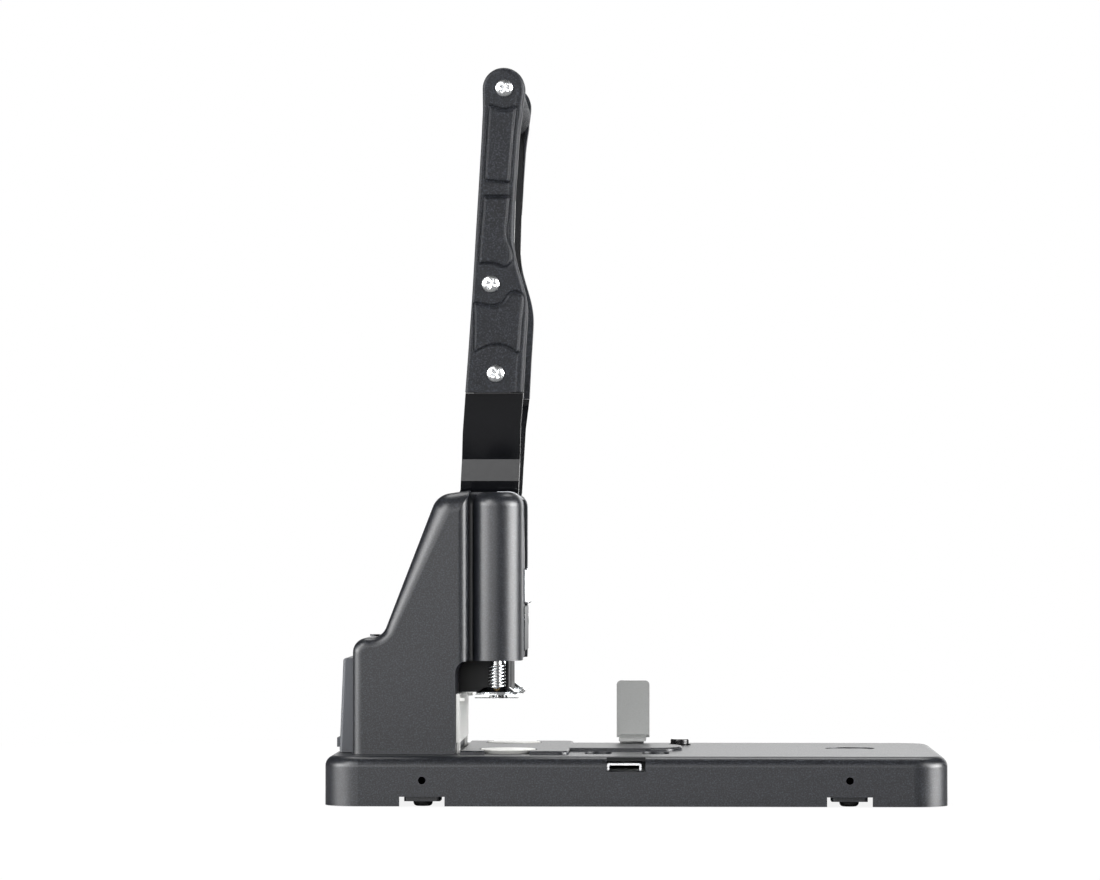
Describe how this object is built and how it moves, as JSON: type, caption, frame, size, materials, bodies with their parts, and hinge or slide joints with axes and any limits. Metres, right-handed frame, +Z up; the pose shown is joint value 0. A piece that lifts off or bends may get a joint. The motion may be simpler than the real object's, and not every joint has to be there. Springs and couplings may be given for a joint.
{
  "type": "hole punch",
  "caption": "Heavy duty two-hole paper punch: flat base, upright punch head, long forked lever with crossbar grip, sliding side guide, rear chip bin",
  "frame": {"origin": "middle of the base's footprint, on the surface that the rubber feet stand on", "axes": "+X to the front, where paper comes in; +Y across the machine, towards the far side that the paper guide pulls out of; +Z up"},
  "size_m": [0.3024, 0.164, 0.3612],
  "materials": {
    "powder_coat": "black fine-textured powder coat",
    "zinc_sheet": "zinc plated sheet steel",
    "zinc_screw": "zinc plated fastener",
    "foot_rubber": "black moulded rubber",
    "bare_steel": "oiled mild steel",
    "ground_steel": "ground steel",
    "bronze_bush": "sintered bronze",
    "black_plastic": "black moulded nylon",
    "satin_steel": "satin nickel plated steel",
    "chrome_plate": "bright chrome plate",
    "black_screw": "black oxide screw",
    "spring_wire": "bright spring wire",
    "white_plastic": "white moulded plastic",
    "grey_plastic": "dark grey acetal",
    "cover_plastic": "black grained plastic",
    "grip_rubber": "black ribbed rubber",
    "clear_plastic": "clear polycarbonate",
    "disc_plastic": "off-white polypropylene",
    "grey_cover_plastic": "dark grey moulded plastic",
    "satin_aluminium": "matte zinc grey sheet",
    "gloss_black_plastic": "glossy black button"
  },
  "bodies": {
    "base": {"base_shell": "powder_coat", "bottom_plate": "powder_coat", "plate_screws": "zinc_screw", "rubber_feet": "foot_rubber", "anvil_plate": "bare_steel", "side_frame_near": "bare_steel", "side_frame_far": "bare_steel", "frame_bolt_near": "zinc_screw", "frame_bolt_far": "zinc_screw", "pivot_shaft": "ground_steel", "shaft_clips": "zinc_screw", "head_shell": "powder_coat", "punch_bush_near": "bronze_bush", "punch_bush_far": "bronze_bush", "head_floor": "black_plastic", "guide_post": "black_plastic", "front_plate": "powder_coat", "latch_guide": "powder_coat", "front_screws": "chrome_plate", "bin_guide": "zinc_sheet", "ledge_screw": "black_screw", "chip_chute": "black_plastic", "presser_spring_near": "spring_wire", "presser_spring_far": "spring_wire", "return_spring": "spring_wire", "button_spring": "spring_wire", "paper_stop": "white_plastic", "runner_blocks": "grey_plastic", "window_lintel": "black_plastic", "button_bezel": "black_plastic", "button_strap": "zinc_sheet"},
    "lever": {"lever_arm_near": "powder_coat", "lever_arm_far": "powder_coat", "arm_cover_near": "cover_plastic", "arm_cover_far": "cover_plastic", "cover_screws_near": "chrome_plate", "cover_screws_far": "chrome_plate", "crank_pin": "ground_steel", "handle_tube": "ground_steel", "grip_sleeve": "grip_rubber", "spacer_tube": "ground_steel"},
    "crosshead": {"crosshead": "bare_steel", "punch_near": "ground_steel", "punch_far": "ground_steel", "punch_nuts": "zinc_screw"},
    "presser": {"presser_plate": "clear_plastic", "presser_pins": "ground_steel", "spring_cup_near": "chrome_plate", "spring_cup_far": "chrome_plate"},
    "disc_near": {"cutting_disc_near": "disc_plastic"},
    "disc_far": {"cutting_disc_far": "disc_plastic"},
    "latch": {"front_latch": "chrome_plate"},
    "bin": {"chip_bin": "grey_cover_plastic"},
    "guide": {"guide_rail": "chrome_plate", "guide_tab": "satin_aluminium"},
    "button": {"guide_button": "gloss_black_plastic"}
  },
  "joints": [
    {"name": "lever_hinge", "type": "hinge", "parent": "base", "child": "lever", "pos_m": [-0.09, 0, 0.118], "axis": [0, 1, 0], "range_deg": [0, 70], "stiffness_Nm_per_rad": 0.7, "springref_deg": -34.38},
    {"name": "crosshead_slide", "type": "slide", "parent": "base", "child": "crosshead", "axis": [0, 0, -1], "range_m": [0, 0.0264]},
    {"name": "presser_slide", "type": "slide", "parent": "base", "child": "presser", "axis": [0, 0, -1], "range_m": [0, 0.02465], "deforming": ["presser_spring_near", "presser_spring_far"]},
    {"name": "guide_slide", "type": "slide", "parent": "base", "child": "guide", "axis": [0, 1, 0], "range_m": [0, 0.09]},
    {"name": "guide_button_press", "type": "slide", "parent": "base", "child": "button", "axis": [0, 0, -1], "range_m": [0, 0.0015], "stiffness_N_per_m": 400, "springref_m": -0.002, "deforming": ["button_spring"]},
    {"name": "latch_slide", "type": "slide", "parent": "base", "child": "latch", "axis": [0, 0, 1], "range_m": [0, 0.008]},
    {"name": "bin_slide", "type": "slide", "parent": "base", "child": "bin", "axis": [-1, 0, 0], "range_m": [0, 0.034]},
    {"name": "disc_near_turn", "type": "hinge", "parent": "base", "child": "disc_near", "pos_m": [-0.063, -0.04, 0.0243], "axis": [0, 0, 1], "continuous": true},
    {"name": "disc_far_turn", "type": "hinge", "parent": "base", "child": "disc_far", "pos_m": [-0.063, 0.04, 0.0243], "axis": [0, 0, 1], "continuous": true}
  ],
  "couplings": [
    {"joint": "crosshead_slide", "follows": "lever_hinge", "m_per_rad": 0.021596},
    {"joint": "presser_slide", "follows": "lever_hinge", "m_per_rad": 0.020135}
  ]
}
